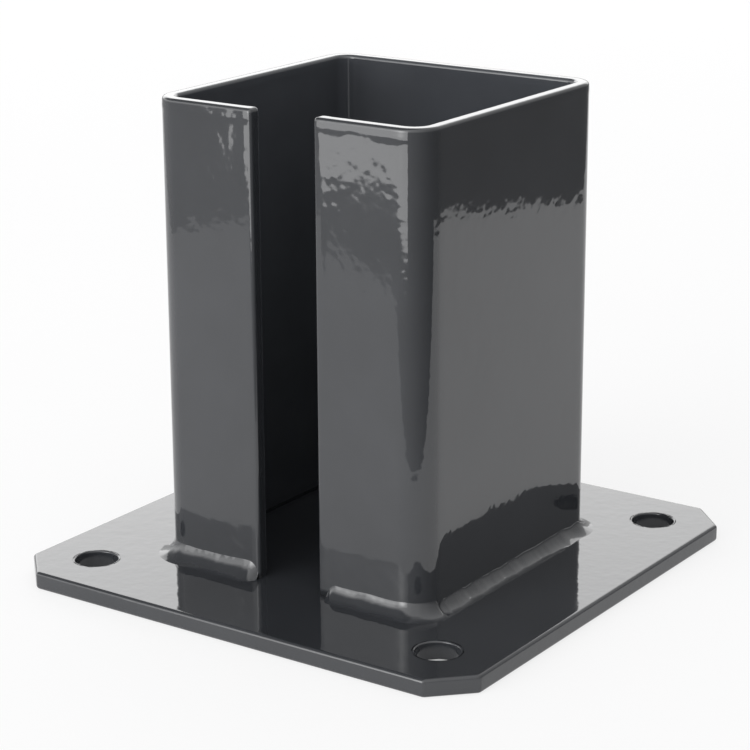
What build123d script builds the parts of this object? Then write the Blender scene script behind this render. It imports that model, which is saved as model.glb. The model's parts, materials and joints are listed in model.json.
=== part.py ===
"""Post shoe: a folded, slotted square channel welded upright on a square base plate.

Millimetres. The origin is at the centre of the plate's underside, +Z points up the
post, and the slot between the channel's two lips faces -Y.
"""

import os
from math import sqrt

from build123d import *

# --- Socket that takes the post ------------------------------------------------------
SOCKET_WIDTH = 80.0  # clear width between the side walls, along X
SOCKET_DEPTH = 80.0  # clear depth from the lips to the back wall, along Y
SOCKET_HEIGHT = 131.0  # height of the walls above the plate
SHEET_THICKNESS = 4.0  # steel sheet that the channel is folded from
INSIDE_BEND_RADIUS = 4.0  # radius on the inside of the four folds
SLOT_WIDTH = 20.0  # gap left between the two returned lips

# --- Base plate ----------------------------------------------------------------------
PLATE_WIDTH = 150.0  # along X
PLATE_DEPTH = 150.0  # along Y
PLATE_THICKNESS = 5.0
CORNER_CUT = 10.5  # leg of the 45 degree cut on each corner
HOLE_DIAMETER = 12.0  # for M10 anchor bolts
HOLE_EDGE_DISTANCE = 17.5  # from the plate's edge to the centre of a hole

# --- Welds and coating ---------------------------------------------------------------
WELD_LEG = 4.0  # height up the wall, and reach over the plate
WELD_CROWN = 0.35  # bulge of the bead's face over a flat one
WELD_END_ROUND = 1.0  # where a bead stops at the slot
COATED_EDGE_RADIUS = 0.8  # thick powder coat rounds every free edge
HOLE_DEBURR = 0.4  # chamfer that takes the burr off both rims of a bolt hole

# --- Sizes that follow ---------------------------------------------------------------
CHANNEL_WIDTH = SOCKET_WIDTH + 2 * SHEET_THICKNESS
CHANNEL_DEPTH = SOCKET_DEPTH + 2 * SHEET_THICKNESS
OUTSIDE_BEND_RADIUS = INSIDE_BEND_RADIUS + SHEET_THICKNESS
HOLE_SPACING_X = PLATE_WIDTH - 2 * HOLE_EDGE_DISTANCE
HOLE_SPACING_Y = PLATE_DEPTH - 2 * HOLE_EDGE_DISTANCE
EDGE_ROUND = min(COATED_EDGE_RADIUS, SHEET_THICKNESS / 4, PLATE_THICKNESS / 4)
RIM_CHAMFER = min(HOLE_DEBURR, PLATE_THICKNESS / 4)

os.makedirs("parts", exist_ok=True)


def outer_skin():
    """Outer face of the folded sheet: from one lip's end, round four folds, to the other."""
    return FilletPolyline(
        (-SLOT_WIDTH / 2, -CHANNEL_DEPTH / 2),
        (-CHANNEL_WIDTH / 2, -CHANNEL_DEPTH / 2),
        (-CHANNEL_WIDTH / 2, CHANNEL_DEPTH / 2),
        (CHANNEL_WIDTH / 2, CHANNEL_DEPTH / 2),
        (CHANNEL_WIDTH / 2, -CHANNEL_DEPTH / 2),
        (SLOT_WIDTH / 2, -CHANNEL_DEPTH / 2),
        radius=OUTSIDE_BEND_RADIUS,
    )


# --- Base plate ----------------------------------------------------------------------
# Cut from flat bar, corners clipped at 45 degrees so that the shoe has no sharp tips.
with BuildPart() as base_plate:
    with BuildSketch():
        outline = Rectangle(PLATE_WIDTH, PLATE_DEPTH)
        chamfer(outline.vertices(), CORNER_CUT)
    extrude(amount=PLATE_THICKNESS)
    fillet(base_plate.edges().filter_by(Axis.Z), EDGE_ROUND)
    underside, *_, top_face = base_plate.faces().sort_by(Axis.Z)
    fillet(underside.edges() + top_face.edges(), EDGE_ROUND)
    with GridLocations(HOLE_SPACING_X, HOLE_SPACING_Y, 2, 2):
        Hole(HOLE_DIAMETER / 2)
    rims = base_plate.edges(Select.LAST).filter_by(GeomType.CIRCLE)
    chamfer(rims, RIM_CHAMFER)
base_plate.part.label = "base_plate"
export_step(base_plate.part, "parts/base_plate.step")


# --- Folded channel ------------------------------------------------------------------
# The sheet's outer skin thickened inwards gives the section. It stands on the plate.
with BuildPart() as u_channel:
    with BuildSketch(Plane.XY.offset(PLATE_THICKNESS)) as section:
        with BuildLine():
            skin = outer_skin()
            offset(skin, amount=SHEET_THICKNESS, side=Side.RIGHT)
        make_face()
        lip_ends = section.vertices().filter_by_position(Axis.X, -SLOT_WIDTH / 2, SLOT_WIDTH / 2)
        fillet(lip_ends, EDGE_ROUND)
    extrude(amount=SOCKET_HEIGHT)
    mouth = u_channel.faces().sort_by(Axis.Z)[-1]
    fillet(mouth.edges(), EDGE_ROUND)
u_channel.part.label = "u_channel"
export_step(u_channel.part, "parts/u_channel.step")


# --- Fillet welds --------------------------------------------------------------------
# One convex bead follows the foot of the channel from lip end to lip end. It was laid as
# five runs: one along each lip and round the front fold, one along each side wall and
# round the back fold, and one that closes the back.
with BuildPart() as bead:
    with BuildLine(Plane.XY.offset(PLATE_THICKNESS)) as foot:
        outer_skin()
    start = Plane(origin=foot.line @ 0, x_dir=(0, -1, 0), z_dir=foot.line % 0)
    with BuildSketch(start):
        with BuildLine():
            crown = WELD_LEG / 2 + WELD_CROWN / sqrt(2)
            Polyline((WELD_LEG, 0), (0, 0), (0, WELD_LEG))
            ThreePointArc((0, WELD_LEG), (crown, crown), (WELD_LEG, 0))
        make_face()
    sweep(path=foot.line)
    bead_ends = bead.faces().filter_by(Axis.X).filter_by_position(
        Axis.X, -SLOT_WIDTH / 2, SLOT_WIDTH / 2)
    fillet(bead_ends.edges().group_by(Axis.Y)[0], WELD_END_ROUND)

FOLD_X = CHANNEL_WIDTH / 2 - OUTSIDE_BEND_RADIUS
FOLD_Y = CHANNEL_DEPTH / 2 - OUTSIDE_BEND_RADIUS
FRONT_STOP = Plane(origin=(0, -FOLD_Y, 0), z_dir=(0, 1, 0))  # where a front fold ends
LEFT_STOP = Plane(origin=(-FOLD_X, 0, 0), z_dir=(1, 0, 0))  # where the back wall starts
RIGHT_STOP = Plane(origin=(FOLD_X, 0, 0), z_dir=(1, 0, 0))  # where the back wall ends
RUNS = {
    "weld_front_left": ((FRONT_STOP, Keep.BOTTOM), (Plane.YZ, Keep.BOTTOM)),
    "weld_front_right": ((FRONT_STOP, Keep.BOTTOM), (Plane.YZ, Keep.TOP)),
    "weld_left": ((FRONT_STOP, Keep.TOP), (LEFT_STOP, Keep.BOTTOM)),
    "weld_right": ((FRONT_STOP, Keep.TOP), (RIGHT_STOP, Keep.TOP)),
    "weld_back": ((FRONT_STOP, Keep.TOP), (LEFT_STOP, Keep.TOP), (RIGHT_STOP, Keep.BOTTOM)),
}
for name, cuts in RUNS.items():
    with BuildPart() as weld:
        add(bead.part)
        for plane, kept in cuts:
            split(bisect_by=plane, keep=kept)
    weld.part.label = name
    export_step(weld.part, f"parts/{name}.step")
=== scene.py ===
import json
import math

import bmesh
import bpy
import numpy as np
from mathutils import Matrix, Vector, noise
from mathutils.geometry import delaunay_2d_cdt


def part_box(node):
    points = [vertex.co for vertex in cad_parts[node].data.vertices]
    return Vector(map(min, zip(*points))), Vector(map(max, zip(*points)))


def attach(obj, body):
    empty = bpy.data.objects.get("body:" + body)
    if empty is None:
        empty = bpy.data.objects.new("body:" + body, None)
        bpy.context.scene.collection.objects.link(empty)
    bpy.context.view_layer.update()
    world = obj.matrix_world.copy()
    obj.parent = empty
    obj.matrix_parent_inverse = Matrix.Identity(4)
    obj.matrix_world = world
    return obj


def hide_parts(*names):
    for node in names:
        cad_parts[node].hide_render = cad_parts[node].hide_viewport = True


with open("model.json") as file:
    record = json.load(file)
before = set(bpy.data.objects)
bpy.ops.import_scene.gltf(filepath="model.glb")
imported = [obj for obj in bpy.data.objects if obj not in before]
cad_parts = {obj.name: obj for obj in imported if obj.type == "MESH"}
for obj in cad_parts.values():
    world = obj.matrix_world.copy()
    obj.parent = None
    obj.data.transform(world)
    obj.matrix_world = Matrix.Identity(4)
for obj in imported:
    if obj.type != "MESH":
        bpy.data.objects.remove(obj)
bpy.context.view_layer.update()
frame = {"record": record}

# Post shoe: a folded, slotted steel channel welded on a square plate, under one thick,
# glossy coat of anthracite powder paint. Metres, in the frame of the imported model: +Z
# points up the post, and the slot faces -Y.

MM = 0.001


# --- Sizes read from the frame ---------------------------------------------------------
PLATE_LOW, PLATE_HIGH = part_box("base_plate")
CHANNEL_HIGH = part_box("u_channel")[1]
SLOT_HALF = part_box("weld_front_right")[0].x
WELD_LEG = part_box("weld_right")[1].x - CHANNEL_HIGH.x
FOLD_RADIUS = CHANNEL_HIGH.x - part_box("weld_back")[1].x
MOUNTS = {mount["name"]: mount for mount in frame["record"]["mounts"]}
HOLES = MOUNTS["anchor_holes"]["dims"]
HOLE_RADIUS = HOLES["hole_r_mm"] * MM
HOLE_X = HOLES["spacing_x_mm"] * MM / 2
HOLE_Y = HOLES["spacing_y_mm"] * MM / 2
COAT = frame["record"]["materials"][0]
TOP_Z = PLATE_HIGH.z
HALF_X = CHANNEL_HIGH.x
HALF_Y = CHANNEL_HIGH.y

# --- Sizes that the frame doesn't state ------------------------------------------------
SHEET = 4.0 * MM  # thickness of the folded sheet
EDGE_ROUND = 1.0 * MM  # the coat rounds every free edge
RIM_ROUND = 0.5 * MM  # the same at the bolt holes
CORNER_CUT = 10.5 * MM  # leg of the plate's clipped corners
UNDER_HOLE_ROUND = 0.1 * MM  # on the underside, where the plate lies on the table
PLATE_CORNER_ROUND = 1.6 * MM  # radius of the plate's eight corners, seen from above
LIP_CORNER_ROUND = 1.2 * MM  # radius of the lips' upper corners at the slot
FINE_ZONE = 6.0 * MM  # how far in from a free edge the channel's grid is fine
FOOT_FADE = 6.0 * MM  # over this height the coat's relief fades out at the welds
BEAD_STEP = 0.35 * MM  # spacing of the sections along a bead
BEAD_LAP = 2.0 * MM  # how far one bead runs on over the next
BEAD_NOSE = 3.0 * MM  # length of a bead's rounded end
SLOT_WRAP = 1.6 * MM  # how far the foot line goes into the slot
STOP_LEFT = 2.6 * MM  # bare length before the left lip's bead, from the line's end
STOP_RIGHT = 5.2 * MM  # the same after the right lip's bead
ROOT = "root"

# --- Light and paper -------------------------------------------------------------------
ROOM_BELOW = 0.40  # level of the room below the horizon
ROOM_ABOVE = 1.30  # and above it
BRIGHT_SIDE = -60.0  # degrees round from the slot's side, to the left
SIDE_CONTRAST = 0.68  # how far the room's sides differ from its mean level
DARK_CORNER = (-0.55, 0.0, 0.835)  # direction of the unlit corner, high up on the left
CORNER_LEVEL = 0.12  # what is left of the light in that corner
PAPER_GLOW = 0.75  # share of the paper's look that doesn't depend on the lamps
MIRRORED_GLOW = 0.5  # how much of that share a reflection shows
CLOTH_RIM = 2.8  # radiance of the front lamp at its rim
CLOTH_HOT = 6.5  # and in its middle
BACK_RADIANCE = 1.26


# --- Small helpers ---------------------------------------------------------------------
def wave(points, size, seed):
    """Smooth noise from about -1 to 1 at each point, with lumps about size across."""
    shift = Vector((seed * 17.13, seed * 5.71, seed * 11.39))
    return np.array([noise.noise(Vector(p) / size + shift) for p in points])


def smooth_step(x):
    x = np.clip(x, 0.0, 1.0)
    return x * x * (3.0 - 2.0 * x)


def normals_of(mesh):
    values = np.zeros(len(mesh.vertices) * 3)
    mesh.vertices.foreach_get("normal", values)
    return values.reshape(-1, 3)


def points_of(mesh):
    values = np.zeros(len(mesh.vertices) * 3)
    mesh.vertices.foreach_get("co", values)
    return values.reshape(-1, 3)


def move_points(mesh, points):
    mesh.vertices.foreach_set("co", points.reshape(-1))
    mesh.update()


def make_piece(name, mesh, material, *nodes):
    """A smooth-shaded piece that rides on the shoe and stands for the CAD nodes."""
    mesh.materials.append(material)
    mesh.shade_smooth()
    piece = bpy.data.objects.new(name, mesh)
    bpy.context.scene.collection.objects.link(piece)
    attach(piece, ROOT)
    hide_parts(*nodes)
    return piece


def grid_faces(rows, columns):
    """Quads of a grid of points held row by row."""
    faces = []
    for r in range(rows - 1):
        for c in range(columns - 1):
            low = r * columns + c
            high = low + columns
            faces.append((low, low + 1, high + 1, high))
    return faces


def mesh_of(name, points, faces):
    """A mesh whose faces all look outward."""
    mesh = bpy.data.meshes.new(name)
    mesh.from_pydata(points, [], faces)
    made = bmesh.new()
    made.from_mesh(mesh)
    bmesh.ops.recalc_face_normals(made, faces=made.faces)
    made.to_mesh(mesh)
    made.free()
    return mesh


def node(tree, kind, **settings):
    made = tree.nodes.new(kind)
    for key, value in settings.items():
        setattr(made, key, value)
    return made


def combine(tree, operation, *values):
    """Output of a Math node. Each value is a socket or a number."""
    made = node(tree, "ShaderNodeMath", operation=operation)
    for place, value in zip(made.inputs, values):
        if isinstance(value, (int, float)):
            place.default_value = value
        else:
            tree.links.new(value, place)
    return made.outputs["Value"]


def map_range(tree, value, before, after, **settings):
    """Output of a Map Range node from the pair before to the pair after."""
    made = node(tree, "ShaderNodeMapRange", **settings)
    made.inputs["From Min"].default_value = before[0]
    made.inputs["From Max"].default_value = before[1]
    made.inputs["To Min"].default_value = after[0]
    made.inputs["To Max"].default_value = after[1]
    tree.links.new(value, made.inputs["Value"])
    return made.outputs["Result"]


# --- The coat --------------------------------------------------------------------------
COAT_IOR = 1.7
ORANGE_PEEL = (  # waves per metre, detail, height in metres
    (110.0, 1.0, 24e-6),
    (300.0, 1.0, 38e-6),
    (800.0, 0.0, 2.0e-6),
)
NIBS_PER_METRE = 90.0
NIB_HEIGHT = 20e-6
NIB_SIZE = 0.035  # radius, as a share of the spacing


def noise_output(tree, coords, scale, detail):
    texture = node(tree, "ShaderNodeTexNoise")
    texture.inputs["Scale"].default_value = scale
    texture.inputs["Detail"].default_value = detail
    tree.links.new(coords, texture.inputs["Vector"])
    return texture.outputs["Fac"]


def bump_output(tree, relief, height, normal=None):
    """Normal of a relief that stands height metres proud, over the layer below."""
    bump = node(tree, "ShaderNodeBump")
    bump.inputs["Distance"].default_value = height
    bump.inputs["Strength"].default_value = 1.0
    tree.links.new(relief, bump.inputs["Height"])
    if normal is not None:
        tree.links.new(normal, bump.inputs["Normal"])
    return bump.outputs["Normal"]


def coat_material(name, ripple, painted_light_gain=1.0, nibs=True):
    """Glossy anthracite powder coat: dark pigment, a wet-looking skin, orange peel.

    ripple scales the height of the orange peel, and the third argument the pigment: above 1
    that is painted light, a lighter copy of the coat. Nibs are the few dust grains that the
    paint flowed over.
    """
    material = bpy.data.materials.new(name)
    material.use_nodes = True
    tree = material.node_tree
    shader = tree.nodes["Principled BSDF"]
    shader.inputs["IOR"].default_value = COAT_IOR
    coords = node(tree, "ShaderNodeTexCoord").outputs["Object"]

    ramp = node(tree, "ShaderNodeValToRGB")
    # A gain above 1 makes a lighter copy of the coat: painted light.
    base = Vector(COAT["base_color"][:3]) * painted_light_gain
    ramp.color_ramp.elements[0].position = 0.3
    ramp.color_ramp.elements[0].color = (*(base * 0.92), 1.0)
    ramp.color_ramp.elements[1].position = 0.7
    ramp.color_ramp.elements[1].color = (*(base * 1.08), 1.0)
    tree.links.new(noise_output(tree, coords, 45.0, 3.0), ramp.inputs["Fac"])
    tree.links.new(ramp.outputs["Color"], shader.inputs["Base Color"])

    haze = noise_output(tree, coords, 120.0, 2.0)
    roughness = map_range(tree, haze, (0.0, 1.0), (0.03, 0.06))
    tree.links.new(roughness, shader.inputs["Roughness"])

    normal = None
    for scale, detail, height in ORANGE_PEEL:
        relief = noise_output(tree, coords, scale, detail)
        normal = bump_output(tree, relief, height * ripple, normal)
    if nibs:
        cells = node(tree, "ShaderNodeTexVoronoi")
        cells.inputs["Scale"].default_value = NIBS_PER_METRE
        tree.links.new(coords, cells.inputs["Vector"])
        grain = map_range(tree, cells.outputs["Distance"], (NIB_SIZE, 0.0), (0.0, 1.0),
                          interpolation_type="SMOOTHSTEP")
        normal = bump_output(tree, grain, NIB_HEIGHT, normal)
    tree.links.new(normal, shader.inputs["Normal"])
    return material


# --- Base plate ------------------------------------------------------------------------
def octagon(inset, corner_round):
    """The plate's outline, moved in by inset, with its eight corners rounded. Each side
    has as many points whatever the inset, so that outlines join up."""
    points_on_side, points_on_cut = 43, 4
    half_x = PLATE_HIGH.x - inset
    half_y = PLATE_HIGH.y - inset
    cut = CORNER_CUT - inset * (2.0 - math.sqrt(2.0))
    corners = []
    for sx, sy in ((1, -1), (1, 1), (-1, 1), (-1, -1)):
        pair = [(sx * (half_x - cut), sy * half_y), (sx * half_x, sy * (half_y - cut))]
        corners += pair if sx * sy < 0 else pair[::-1]
    outline = []
    for k, corner in enumerate(corners):
        here = Vector(corner)
        before = (Vector(corners[k - 1]) - here).normalized()
        after = (Vector(corners[(k + 1) % 8]) - here).normalized()
        reach = corner_round * math.tan(math.radians(22.5))
        start, end = here + before * reach, here + after * reach
        for step in range(5):
            t = step / 4
            outline.append((1 - t) ** 2 * start + 2 * t * (1 - t) * here + t ** 2 * end)
        far = Vector(corners[(k + 1) % 8]) - after * reach
        count = points_on_side if k % 2 else points_on_cut
        outline += [end.lerp(far, n / count) for n in range(1, count)]
    return outline


def rim_profile(radius, steps=6):
    """Points of a quarter round after a short flat: (distance in from the edge, drop below
    the top). The flat keeps the shading of the face level up to the rounding."""
    flat = 0.25 * MM
    angles = [math.pi / 2 * k / steps for k in range(steps + 1)]
    return [(radius + flat, 0.0)] + [
        (radius * (1 - math.sin(a)), radius * (1 - math.cos(a))) for a in angles]


def build_plate(material):
    """Flat bar with clipped corners and four drilled holes, its edges rounded by the coat."""
    made = bmesh.new()
    top, bottom = PLATE_HIGH.z, PLATE_LOW.z

    def ring(points, z):
        return [made.verts.new((p[0], p[1], z)) for p in points]

    def skin(loops):
        for low, high in zip(loops, loops[1:]):
            for k in range(len(low)):
                n = (k + 1) % len(low)
                made.faces.new((low[k], low[n], high[n], high[k]))

    def edge_loops(outline_at, upper, lower):
        rings = [ring(outline_at(inset), top - drop) for inset, drop in rim_profile(upper)]
        under = reversed(rim_profile(lower))
        rings += [ring(outline_at(inset), bottom + drop) for inset, drop in under]
        return rings

    outer = edge_loops(lambda inset: octagon(inset, PLATE_CORNER_ROUND), EDGE_ROUND, EDGE_ROUND)
    skin(outer)
    holes = []
    for sx in (-1, 1):
        for sy in (-1, 1):
            def circle(inset, sx=sx, sy=sy):
                radius = HOLE_RADIUS + inset
                turn = [2 * math.pi * k / 48 for k in range(48)]
                return [(sx * HOLE_X + radius * math.cos(a), sy * HOLE_Y - radius * math.sin(a))
                        for a in turn]
            loops = edge_loops(circle, RIM_ROUND, UNDER_HOLE_ROUND)
            skin(loops)
            holes.append(loops)

    for level in (0, -1):
        borders = [outer[level]] + [loops[level] for loops in holes]
        flat = [Vector((v.co.x, v.co.y)) for border in borders for v in border]
        fixed = [v for border in borders for v in border]
        edges, first = [], 0
        for border in borders:
            edges += [(first + k, first + (k + 1) % len(border)) for k in range(len(border))]
            first += len(border)
        # Loose points inside the face keep its triangles even in size.
        pitch = 3.0 * MM
        reach = PLATE_HIGH.x - 2.5 * MM
        for x in np.arange(-reach, reach + pitch / 2, pitch):
            for y in np.arange(-reach, reach + pitch / 2, pitch):
                clear_of_cut = abs(x) + abs(y) < 2 * PLATE_HIGH.x - CORNER_CUT - 4.0 * MM
                from_hole = math.hypot(abs(x) - HOLE_X, abs(y) - HOLE_Y)
                clear_of_hole = from_hole > HOLE_RADIUS + 1.8 * MM
                if clear_of_cut and clear_of_hole:
                    flat.append(Vector((x, y)))
        found, _, triangles, origins, _, _ = delaunay_2d_cdt(flat, edges, [], 0, 1e-7)
        z = top if level == 0 else bottom
        verts = []
        for place, source in zip(found, origins):
            old = [k for k in source if k < len(fixed)]
            verts.append(fixed[old[0]] if old else made.verts.new((place.x, place.y, z)))
        for triangle in triangles:
            middle = sum((found[k] for k in triangle), Vector((0, 0))) / 3
            in_hole = math.hypot(abs(middle.x) - HOLE_X, abs(middle.y) - HOLE_Y) < HOLE_RADIUS
            in_cut = abs(middle.x) + abs(middle.y) > 2 * PLATE_HIGH.x - CORNER_CUT - 0.1 * MM
            if not in_hole and not in_cut:
                made.faces.new([verts[k] for k in triangle])
    bmesh.ops.recalc_face_normals(made, faces=made.faces)
    mesh = bpy.data.meshes.new("plate")
    made.to_mesh(mesh)
    made.free()
    return make_piece("plate", mesh, material, "base_plate")


# --- Folded channel --------------------------------------------------------------------
def skin_parts():
    """Straight and folded parts of the outer skin, from the left lip's end round to the
    right lip's: (length, start, heading in degrees, fold) with fold true for a bend."""
    bend = FOLD_RADIUS * math.pi / 2
    cx, cy = HALF_X - FOLD_RADIUS, HALF_Y - FOLD_RADIUS
    return (
        (cx - SLOT_HALF, (-SLOT_HALF, -HALF_Y), 180.0, False),
        (bend, (-cx, -cy), 270.0, True),
        (2 * cy, (-HALF_X, -cy), 90.0, False),
        (bend, (-cx, cy), 180.0, True),
        (2 * cx, (-cx, HALF_Y), 0.0, False),
        (bend, (cx, cy), 90.0, True),
        (2 * cy, (HALF_X, cy), 270.0, False),
        (bend, (cx, -cy), 0.0, True),
        (cx - SLOT_HALF, (cx, -HALF_Y), 180.0, False),
    )


def skin_at(distance):
    """Point and outward normal of the outer skin at a distance along it."""
    for length, start, heading, fold in skin_parts():
        if distance <= length + 1e-9:
            break
        distance -= length
    if fold:
        a = math.radians(heading) - distance / FOLD_RADIUS
        normal = (math.cos(a), math.sin(a))
        return (start[0] + FOLD_RADIUS * normal[0], start[1] + FOLD_RADIUS * normal[1]), normal
    a = math.radians(heading)
    point = (start[0] + distance * math.cos(a), start[1] + distance * math.sin(a))
    return point, (math.cos(a + math.pi / 2), math.sin(a + math.pi / 2))


def edge_steps(reach):
    """Distances from a free edge: fine through its rounding, coarser further in."""
    turned = [EDGE_ROUND * (1 - math.cos(math.radians(15 * k))) for k in range(7)]
    flat = [EDGE_ROUND + step * MM for step in (0.25, 0.6, 1.0, 1.5, 2.1, 2.8, 3.7)]
    return turned + flat + [reach]


def build_channel(material, inside):
    """The folded sheet: outer and inner skins on one grid, closed round the free edges,
    with the coat's sags and fat edges on top."""
    lengths = [part[0] for part in skin_parts()]
    total = sum(lengths)
    columns_in_fold, column_width, plain_rows = 14, 2.0 * MM, 62
    from_end = edge_steps(FINE_ZONE)
    along, at = list(from_end), 0.0
    for length, _, _, fold in skin_parts():
        count = columns_in_fold if fold else round(length / column_width)
        along += [at + length * k / count for k in range(1, count + 1)
                  if from_end[-1] < at + length * k / count < total - from_end[-1]]
        at += length
    along += [total - step for step in reversed(from_end)]
    top = CHANNEL_HIGH.z
    from_top = edge_steps(FINE_ZONE)
    rows = list(np.linspace(TOP_Z, top - from_top[-1], plain_rows))[:-1]
    rows += [top - step for step in reversed(from_top)]

    corner = LIP_CORNER_ROUND
    skins = {1: [], -1: []}
    for z in rows:
        for u in along:
            side, rise = min(u, total - u), top - z
            near = rise
            if side < corner and rise < corner:
                x, y = (corner - side) / corner, (corner - rise) / corner
                side = corner - corner * x * math.sqrt(1 - y * y / 2)
                rise = corner - corner * y * math.sqrt(1 - x * x / 2)
                near = corner - math.hypot(corner - side, corner - rise)
            near = min(side, near)
            inset = max(0.0, EDGE_ROUND - near)
            half = SHEET / 2 - EDGE_ROUND + math.sqrt(max(0.0, EDGE_ROUND ** 2 - inset ** 2))
            point, normal = skin_at(side if u < total / 2 else total - side)
            for face in (1, -1):
                depth = SHEET / 2 - face * half
                skins[face].append((point[0] - depth * normal[0], point[1] - depth * normal[1],
                                    top - rise))
    columns, count = len(along), len(rows)
    size = columns * count
    faces = [tuple(reversed(face)) for face in grid_faces(count, columns)]
    inner_faces = [tuple(size + k for k in face) for face in grid_faces(count, columns)]
    border = [r * columns for r in range(count)]
    border += [(count - 1) * columns + c for c in range(1, columns)]
    border += [r * columns + columns - 1 for r in range(count - 2, -1, -1)]
    points = skins[1] + skins[-1]
    bands = [border]
    for share in (0.2, 0.5, 0.8):
        first = len(points)
        points += [tuple(np.array(points[k]) * (1 - share) + np.array(points[size + k]) * share)
                   for k in border]
        bands.append(list(range(first, first + len(border))))
    bands.append([size + k for k in border])
    for low, high in zip(bands, bands[1:]):
        faces += [(low[k], low[k + 1], high[k + 1], high[k]) for k in range(len(border) - 1)]
    faces += [(c + 1, c, size + c, size + c + 1) for c in range(columns - 1)]
    mesh = mesh_of("channel", points, faces + inner_faces)
    sag_coat(mesh, top)
    piece = make_piece("channel", mesh, material, "u_channel")
    # The inner skin takes the lighter copy of the coat, painted light on the socket's inner faces.
    mesh.materials.append(inside)
    for face in mesh.polygons[len(faces):]:
        face.material_index = 1
    return piece


def sag_coat(mesh, top):
    """The wet coat drew back from the free edges and stands in a low ridge beside them.
    The relief fades out at the welds, and nothing stands over the rim."""
    points, normals = points_of(mesh), normals_of(mesh)
    height = 14e-6 * wave(points, 18.0 * MM, 3) + 5e-6 * wave(points, 7.0 * MM, 4)
    lip = points[:, 1] < -HALF_Y + SHEET + 0.1 * MM
    far_off = 1.0
    to_slot = np.where(lip, np.abs(points[:, 0]) - SLOT_HALF, far_off)
    drift, ripple = wave(points, 26.0 * MM, 5), wave(points, 6.0 * MM, 6)
    ridge_width = 1.0 * MM
    for distance, reach, tall in ((top - points[:, 2], 2.5 * MM, 75e-6),
                                  (to_slot, 2.3 * MM, 42e-6)):
        centre = reach * (1.0 + 0.25 * drift + 0.12 * ripple)
        ridge = np.exp(-((distance - centre) / ridge_width) ** 2)
        height += tall * ridge * np.clip(1.0 + 0.8 * drift + 0.4 * ripple, 0.1, 2.0)
    foot = smooth_step((points[:, 2] - TOP_Z) / FOOT_FADE)
    moved = points + normals * (height * foot)[:, None]
    moved[:, 2] = np.minimum(moved[:, 2], top)
    move_points(mesh, moved)


# --- Fillet welds ----------------------------------------------------------------------
def foot_line(step):
    """The line that the bead follows: round one lip's end, along the channel's foot and
    round the other lip's end. Gives points, outward normals and distance run."""
    total = sum(part[0] for part in skin_parts())
    edge = EDGE_ROUND
    count = round((total - 2 * edge) / step)
    points, outward = [], []
    for k in range(count + 1):
        point, normal = skin_at(edge + (total - 2 * edge) * k / count)
        points.append(point)
        outward.append(normal)
    ends = {-1: ([], []), 1: ([], [])}
    for side, (end_points, end_normals) in ends.items():
        for k in range(1, 8):
            a = math.radians(90.0 * k / 8)
            normal = (-side * math.sin(a), -math.cos(a))
            end_points.append((side * (SLOT_HALF + edge) + edge * normal[0],
                               -HALF_Y + edge + edge * normal[1]))
            end_normals.append(normal)
        for k in range(6):
            end_points.append((side * SLOT_HALF, -HALF_Y + edge + SLOT_WRAP * k / 5))
            end_normals.append((-side, 0.0))
    points = ends[-1][0][::-1] + points + ends[1][0]
    outward = ends[-1][1][::-1] + outward + ends[1][1]
    points = np.array(points)
    run = np.concatenate([[0.0], np.cumsum(np.linalg.norm(np.diff(points, axis=0), axis=1))])
    return points, np.array(outward), run


def bead_section(wall_leg, plate_leg, fill, count):
    """Section of a bead as (out from the wall, up from the plate), from toe to toe: hollow
    and faired into both where fill is 0, and flat where it is 1."""
    turn = np.linspace(0.0, math.pi / 2, count)
    hollow = np.stack([plate_leg * (1 - np.cos(turn)), wall_leg * (1 - np.sin(turn))], axis=1)
    share = turn / turn[-1]
    flat = np.stack([plate_leg * share, wall_leg * (1 - share)], axis=1)
    sunk = 0.03 * MM
    toes = np.array([[-2 * sunk, wall_leg + 0.1 * MM], [plate_leg + 0.1 * MM, -2 * sunk]])
    face = hollow * (1 - fill) + flat * fill - sunk
    line = np.concatenate([toes[:1], face, toes[1:]])
    for _ in range(2):
        line[1:-1] = 0.25 * line[:-2] + 0.5 * line[1:-1] + 0.25 * line[2:]
    return line


def bead_run(name, start, stop, legs, seed, material, cad_node):
    """One run of weld between two distances along the foot. legs are its usual height up
    the wall and reach out on the plate. An end near the slot is a round nose, and an end
    that laps another bead tapers."""
    line, outward, run = FOOT
    length = run[-1]
    near_slot = 12.0 * MM
    columns = 26
    rows = []
    for k in np.where((run >= start) & (run <= stop))[0]:
        at = run[k]
        here = [(line[k][0], line[k][1], 0.0)]
        slow, lump, grain = (wave(here, size * MM, seed + n)[0]
                             for n, size in enumerate((11.0, 5.0, 1.8)))
        to_end = min(at - start, stop - at)
        if min(at, length - at) < near_slot:
            size = math.sqrt(1.0 - 0.97 * (1.0 - min(1.0, to_end / BEAD_NOSE)) ** 2)
        else:
            size = 0.3 + 0.7 * smooth_step((to_end + 0.2 * MM) / BEAD_NOSE)
        wall_leg = legs[0] * size * (1.0 + 0.10 * slow + 0.05 * lump + 0.01 * grain)
        plate_leg = legs[1] * size * (1.0 - 0.10 * slow + 0.07 * lump + 0.01 * grain)
        fill = 0.30 + 0.22 * wave(here, 5.0 * MM, seed + 3)[0] + 0.04 * grain
        section = bead_section(wall_leg, plate_leg, fill, columns)
        out = np.concatenate([outward[k], [0.0]])
        foot = np.array([line[k][0], line[k][1], TOP_Z])
        rows.append(foot + section[:, :1] * out + section[:, 1:] * np.array([0, 0, 1.0]))
    grid = np.array(rows)
    width = grid.shape[1]
    faces = grid_faces(len(rows), width)
    faces += [tuple(range(width)), tuple(range((len(rows) - 1) * width, len(rows) * width))]
    mesh = mesh_of(name, grid.reshape(-1, 3).tolist(), faces)
    return make_piece(name, mesh, material, cad_node)


FOOT = foot_line(BEAD_STEP)


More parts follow.
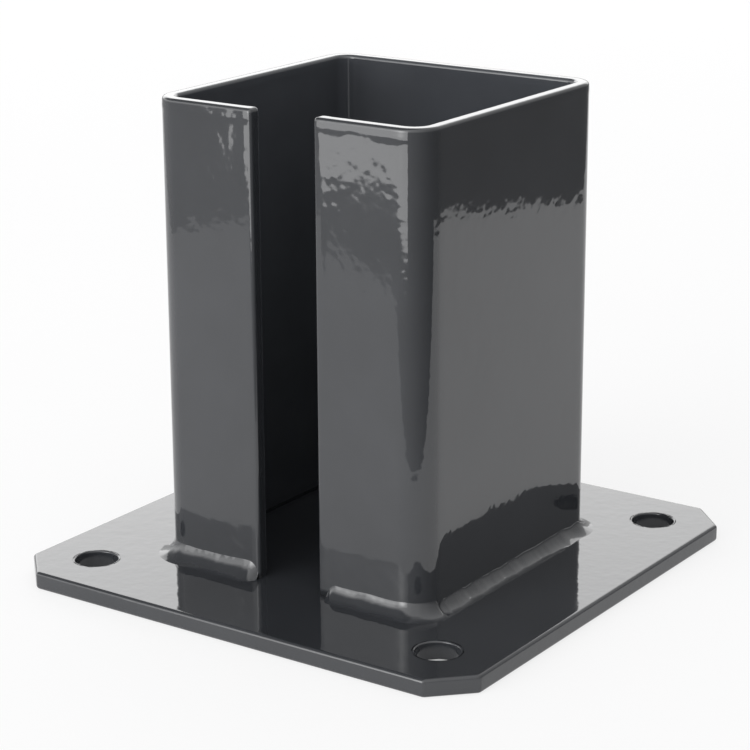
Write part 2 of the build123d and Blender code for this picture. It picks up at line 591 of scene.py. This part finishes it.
def build_welds(material):
    line, _, run = FOOT

    def distance_at(x, y):
        return run[np.argmin(np.hypot(line[:, 0] - x, line[:, 1] - y))]

    fold_x, fold_y = HALF_X - FOLD_RADIUS, HALF_Y - FOLD_RADIUS
    left_front = distance_at(-HALF_X, -fold_y)
    left_back = distance_at(-fold_x, HALF_Y)
    right_back = distance_at(fold_x, HALF_Y)
    right_front = distance_at(HALF_X, -fold_y)
    lap = BEAD_LAP
    leg = WELD_LEG
    bead_run("bead_front_left", STOP_LEFT, left_front + lap / 2, (1.15 * leg, 1.2 * leg), 11,
             material, "weld_front_left")
    bead_run("bead_left", left_front - lap, left_back + lap / 2, (leg, leg), 21, material,
             "weld_left")
    bead_run("bead_back", left_back - lap, right_back + lap, (leg, leg), 31, material,
             "weld_back")
    bead_run("bead_right", right_back - lap / 2, right_front + lap / 2, (0.85 * leg, leg), 41,
             material, "weld_right")
    bead_run("bead_front_right", right_front - lap / 2, run[-1] - STOP_RIGHT, (leg, 1.05 * leg), 51,
             material, "weld_front_right")


# --- Camera ----------------------------------------------------------------------------
AZIMUTH = math.radians(34.811)  # round from the slot's side towards the right wall
ELEVATION = math.radians(17.0)
ROLL = math.radians(-0.279)
DISTANCE = 681.6 * MM
LENS = 115.12  # millimetres, on the default 36 mm sensor
AIM = Vector((-4.3, 3.9, 52.6)) * MM


def build_camera():
    back = Vector((math.sin(AZIMUTH) * math.cos(ELEVATION),
                   -math.cos(AZIMUTH) * math.cos(ELEVATION), math.sin(ELEVATION)))
    right = (-back).cross(Vector((0, 0, 1))).normalized()
    up = right.cross(-back)
    tilted_right = right * math.cos(ROLL) + up * math.sin(ROLL)
    tilted_up = up * math.cos(ROLL) - right * math.sin(ROLL)
    data = bpy.data.cameras.new("camera")
    data.lens = LENS
    data.clip_start = 0.01
    camera = bpy.data.objects.new("camera", data)
    bpy.context.scene.collection.objects.link(camera)
    turned = Matrix((tilted_right, tilted_up, back)).transposed().to_4x4()
    camera.matrix_world = Matrix.Translation(AIM + back * DISTANCE) @ turned
    bpy.context.scene.camera = camera
    return right, Vector((back.x, back.y, 0)).normalized()


# --- Studio ----------------------------------------------------------------------------
def studio_world():
    """Soft room light: one level below the horizon and one above, stronger on the bright
    side and weak in one corner. The camera sees plain white."""
    world = bpy.data.worlds.new("studio")
    bpy.context.scene.world = world
    world.use_nodes = True
    tree = world.node_tree
    background = tree.nodes["Background"]
    coords = node(tree, "ShaderNodeTexCoord").outputs["Generated"]

    def along(direction):
        """How far a ray points along a direction, from -1 to 1."""
        made = node(tree, "ShaderNodeVectorMath", operation="DOT_PRODUCT")
        tree.links.new(coords, made.inputs[0])
        made.inputs[1].default_value = direction
        return made.outputs["Value"]

    split = node(tree, "ShaderNodeSeparateXYZ")
    tree.links.new(coords, split.inputs["Vector"])
    height = map_range(tree, split.outputs["Z"], (-0.1, 0.3), (ROOM_BELOW, ROOM_ABOVE),
                       interpolation_type="SMOOTHSTEP")
    turn = math.radians(BRIGHT_SIDE)
    side = along((math.sin(turn), -math.cos(turn), 0.0))
    share = combine(tree, "MULTIPLY_ADD", side, SIDE_CONTRAST, 1.0)
    corner = map_range(tree, along(DARK_CORNER), (0.72, 0.90), (1.0, CORNER_LEVEL),
                       interpolation_type="SMOOTHSTEP")
    room = combine(tree, "MULTIPLY", height, corner)
    level = combine(tree, "MULTIPLY", room, share)
    strength = node(tree, "ShaderNodeMix", data_type="FLOAT")
    paths = node(tree, "ShaderNodeLightPath")
    tree.links.new(paths.outputs["Is Camera Ray"], strength.inputs["Factor"])
    tree.links.new(level, strength.inputs["A"])
    strength.inputs["B"].default_value = 1.0
    tree.links.new(strength.outputs["Result"], background.inputs["Strength"])
    background.inputs["Color"].default_value = (1.0, 1.0, 1.0, 1.0)


def pale_material(name, lift):
    """Pale matt paper. To the camera, and more weakly in a reflection or through a pane,
    part of it glows, so that its shadows stay faint. In the bolt holes it doesn't glow: the
    paper there is painted darker, a painted shadow in the holes."""
    material = bpy.data.materials.new(name)
    material.use_nodes = True
    tree = material.node_tree
    shader = tree.nodes["Principled BSDF"]
    shader.inputs["Roughness"].default_value = 0.9
    shader.inputs["Specular IOR Level"].default_value = 0.0
    fibre = node(tree, "ShaderNodeTexNoise")
    fibre.inputs["Scale"].default_value = 6.0
    ramp = node(tree, "ShaderNodeValToRGB")
    ramp.color_ramp.elements[0].color = (0.88, 0.88, 0.885, 1.0)
    ramp.color_ramp.elements[1].color = (0.92, 0.92, 0.925, 1.0)
    tree.links.new(fibre.outputs["Fac"], ramp.inputs["Fac"])
    tree.links.new(ramp.outputs["Color"], shader.inputs["Base Color"])
    glow = node(tree, "ShaderNodeEmission")
    glow.inputs["Color"].default_value = (1.0, 1.0, 1.0, 1.0)

    paths = node(tree, "ShaderNodeLightPath").outputs
    mirrored = combine(tree, "MAXIMUM", paths["Is Glossy Ray"], paths["Is Transmission Ray"])
    weaker = combine(tree, "MULTIPLY", mirrored, MIRRORED_GLOW)
    seen = combine(tree, "MAXIMUM", paths["Is Camera Ray"], weaker)
    place = node(tree, "ShaderNodeVectorMath", operation="ABSOLUTE")
    tree.links.new(node(tree, "ShaderNodeNewGeometry").outputs["Position"], place.inputs[0])
    # Painted shadow: in and just round each bolt hole the glow is left out, so the paper there is
    # darker under the same light.
    from_hole = node(tree, "ShaderNodeVectorMath", operation="DISTANCE")
    tree.links.new(place.outputs["Vector"], from_hole.inputs[0])
    from_hole.inputs[1].default_value = (HOLE_X, HOLE_Y, 0.0)
    outside_painted_hole_shadow = combine(tree, "GREATER_THAN", from_hole.outputs["Value"],
                          HOLE_RADIUS + 1.0 * MM)
    share = combine(tree, "MULTIPLY", combine(tree, "MULTIPLY", seen, outside_painted_hole_shadow), lift)
    mix = node(tree, "ShaderNodeMixShader")
    tree.links.new(share, mix.inputs["Fac"])
    tree.links.new(shader.outputs["BSDF"], mix.inputs[1])
    tree.links.new(glow.outputs["Emission"], mix.inputs[2])
    tree.links.new(mix.outputs["Shader"], tree.nodes["Material Output"].inputs["Surface"])
    return material


def lamp_material(name, rim, hot):
    """Cloth of a lamp: brightest in the middle, and dark on its back."""
    material = bpy.data.materials.new(name)
    material.use_nodes = True
    tree = material.node_tree
    tree.nodes.remove(tree.nodes["Principled BSDF"])
    centre = node(tree, "ShaderNodeVectorMath", operation="DISTANCE")
    centre.inputs[1].default_value = (0.5, 0.5, 0.0)
    tree.links.new(node(tree, "ShaderNodeTexCoord").outputs["UV"], centre.inputs[0])
    level = map_range(tree, centre.outputs["Value"], (0.5, 0.0), (rim, hot),
                      interpolation_type="SMOOTHSTEP")
    back = node(tree, "ShaderNodeNewGeometry").outputs["Backfacing"]
    lit = combine(tree, "MULTIPLY", level, combine(tree, "SUBTRACT", 1.0, back))
    glow = node(tree, "ShaderNodeEmission")
    tree.links.new(lit, glow.inputs["Strength"])
    tree.links.new(glow.outputs["Emission"], tree.nodes["Material Output"].inputs["Surface"])
    return material


def stage_sheet(name, corners, material):
    """A flat four-sided sheet of the set. Its corners run counter-clockwise round its face."""
    mesh = bpy.data.meshes.new(name)
    mesh.from_pydata([tuple(corner) for corner in corners], [], [(0, 1, 2, 3)])
    mesh.uv_layers.new(name="face")
    for loop, place in zip(mesh.uv_layers["face"].data, ((0, 0), (1, 0), (1, 1), (0, 1))):
        loop.uv = place
    mesh.materials.append(material)
    sheet = bpy.data.objects.new(name, mesh)
    bpy.context.scene.collection.objects.link(sheet)
    return sheet


def soft_box(name, azimuth, distance, height, width, tall, radiance):
    """An upright lamp with an oblong soft face, turned to the axis of the shoe."""
    data = bpy.data.lights.new(name, "AREA")
    data.shape = "RECTANGLE"
    data.size = width
    data.size_y = tall
    data.energy = radiance * math.pi * width * tall
    lamp = bpy.data.objects.new(name, data)
    bpy.context.scene.collection.objects.link(lamp)
    turn = math.radians(azimuth)
    lamp.location = (math.sin(turn) * distance, -math.cos(turn) * distance, height)
    lamp.rotation_euler = (math.radians(90), 0, turn)
    lamp.visible_camera = False


def build_studio(right, towards):
    """A white table that ends a short way in front of the shoe, a wide floor just under it
    that only the camera sees, a soft room, a lamp in front and one behind."""
    paper = pale_material("pale_paper", PAPER_GLOW)
    floor_z = PLATE_LOW.z

    def spot(across, forward, z):
        return right * across + towards * forward + Vector((0, 0, z))

    def level_sheet(name, half_width, back, front, z):
        return stage_sheet(name, (spot(-half_width, back, z), spot(half_width, back, z),
                                  spot(half_width, front, z), spot(-half_width, front, z)),
                           paper)

    level_sheet("table", 0.468, -1.6, 0.183, floor_z)
    floor = level_sheet("floor", 3, -3, 3, floor_z - 0.1 * MM)
    floor.visible_glossy = False
    floor.visible_diffuse = False
    floor.visible_shadow = False
    studio_world()
    left, right_end, y = -0.93, 0.215, -1.22
    low, high = -0.195, 0.92
    cloth = lamp_material("lamp_cloth", CLOTH_RIM, CLOTH_HOT)
    lamp = stage_sheet("front_lamp", (Vector((right_end, y, low)), Vector((left, y, low)),
                                      Vector((left, y, high)), Vector((right_end, y, high))),
                       cloth)
    lamp.visible_camera = False
    soft_box("back_box", azimuth=-145.0, distance=1.6, height=0.76, width=2.4, tall=0.82,
             radiance=BACK_RADIANCE)


coat = coat_material("powder_coat", 1.0)
weld_coat = coat_material("powder_coat_weld", 1.3, nibs=False)
# The socket's inner faces get a coat 1.8 times lighter: painted light, standing in for light that
# falls in over the rim.
inside_coat_painted_light = coat_material("powder_coat_inside_painted_light", 1.0, painted_light_gain=1.8)
build_plate(coat)
build_channel(coat, inside_coat_painted_light)
build_welds(weld_coat)
camera_right, camera_towards = build_camera()
build_studio(camera_right, camera_towards)
bpy.context.scene.view_settings.view_transform = "Standard"
